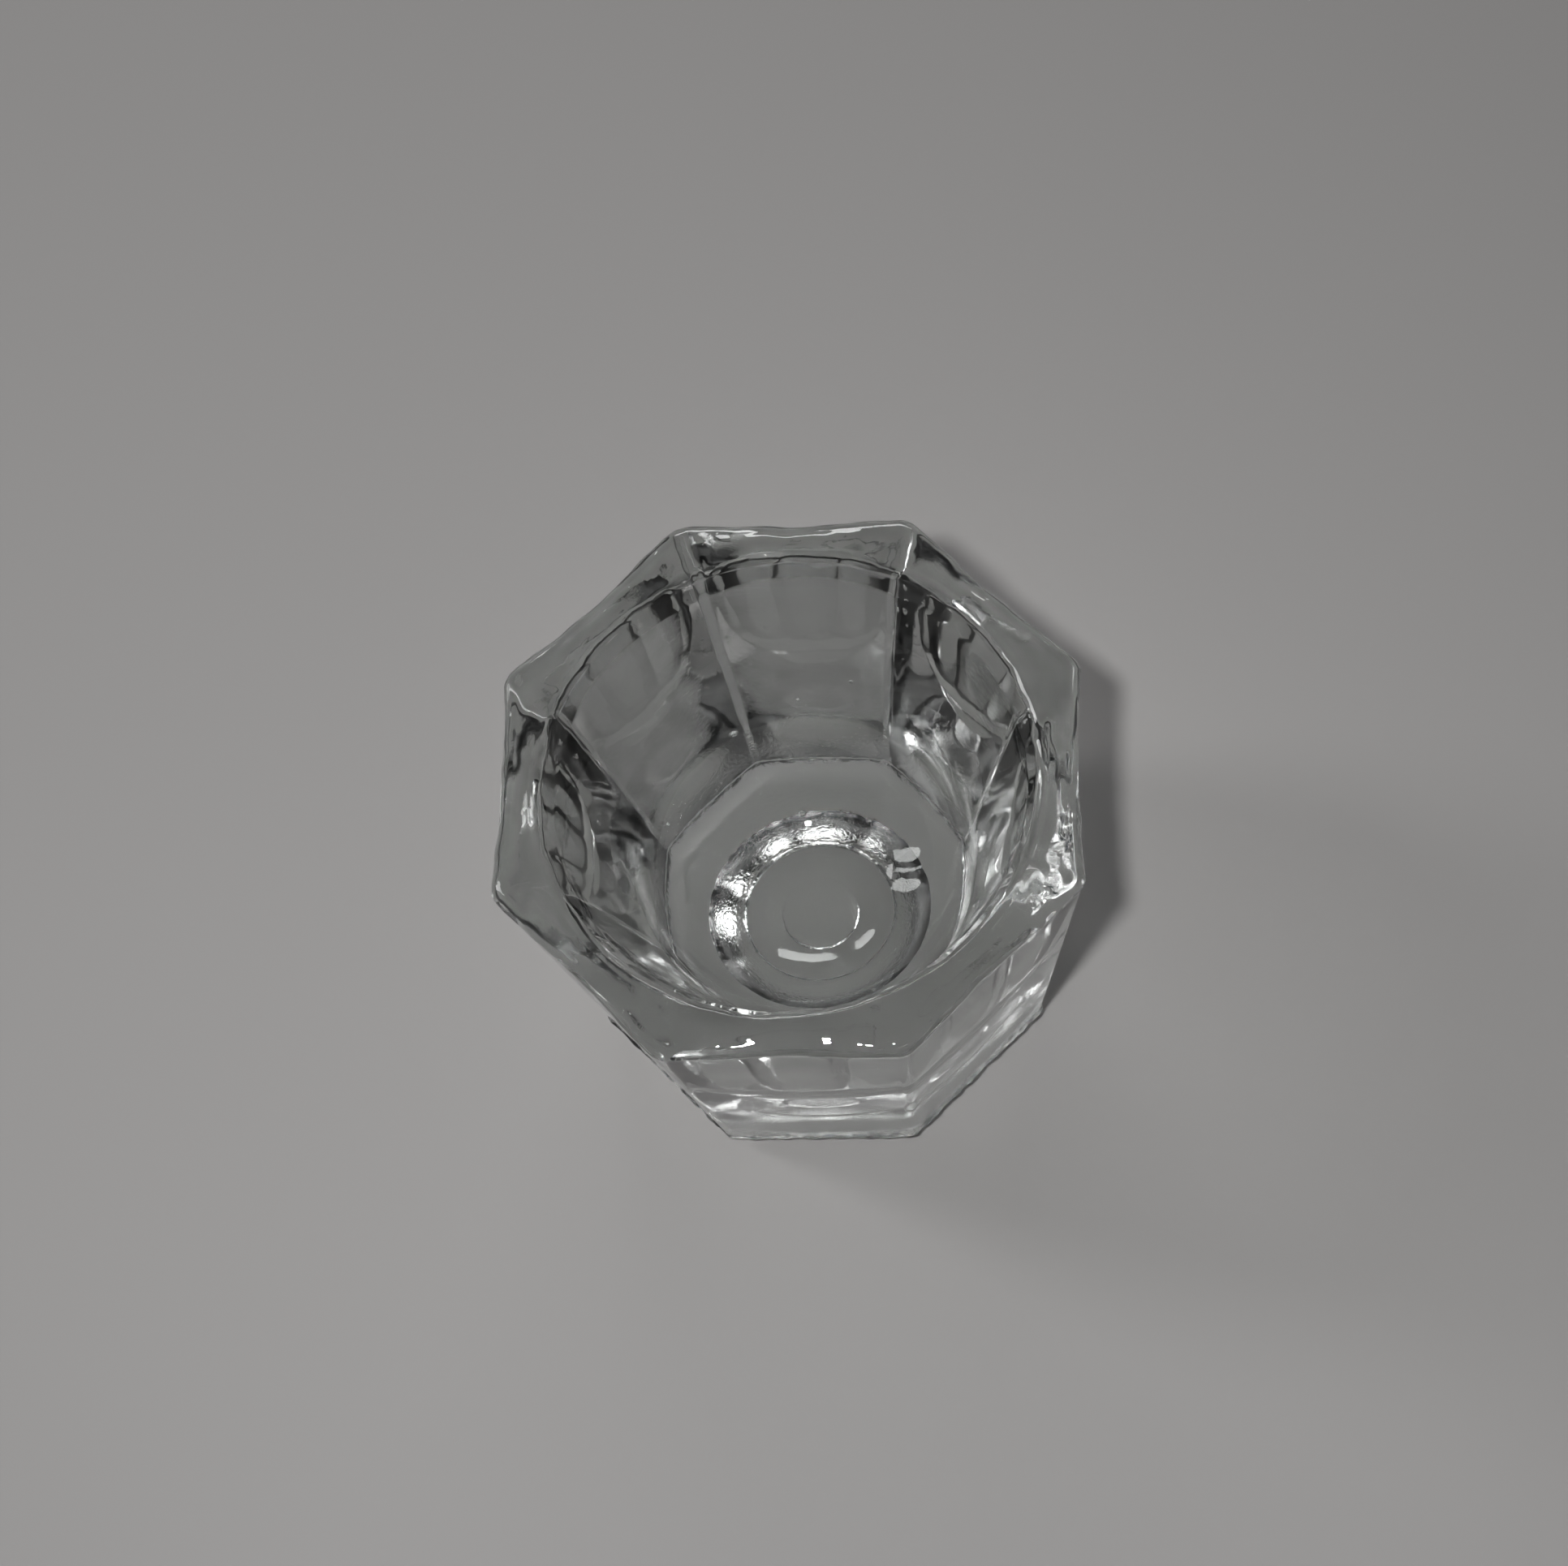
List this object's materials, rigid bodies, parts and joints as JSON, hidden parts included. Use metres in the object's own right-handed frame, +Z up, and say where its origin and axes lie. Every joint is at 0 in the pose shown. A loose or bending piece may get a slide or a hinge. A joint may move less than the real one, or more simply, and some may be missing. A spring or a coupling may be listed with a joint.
{
  "type": "glass cup",
  "caption": "Small octagonal pressed-glass cup with a thick rounded lip, a round bowl-bottomed cavity and a hollowed foot, for nail liquid or brush washing.",
  "frame": {"origin": "centre of the foot, on the plane that rests on the table", "axes": "+Z up along the cup's axis, towards the mouth; facets face +X, -X, +Y and -Y and halfway between them"},
  "size_m": [0.0398, 0.0398, 0.031],
  "materials": {
    "clear_glass": "clear pressed glass, fire-polished, with a faint grey-green tint"
  },
  "bodies": {
    "root": {"glass_cup": "clear_glass"}
  },
  "joints": []
}
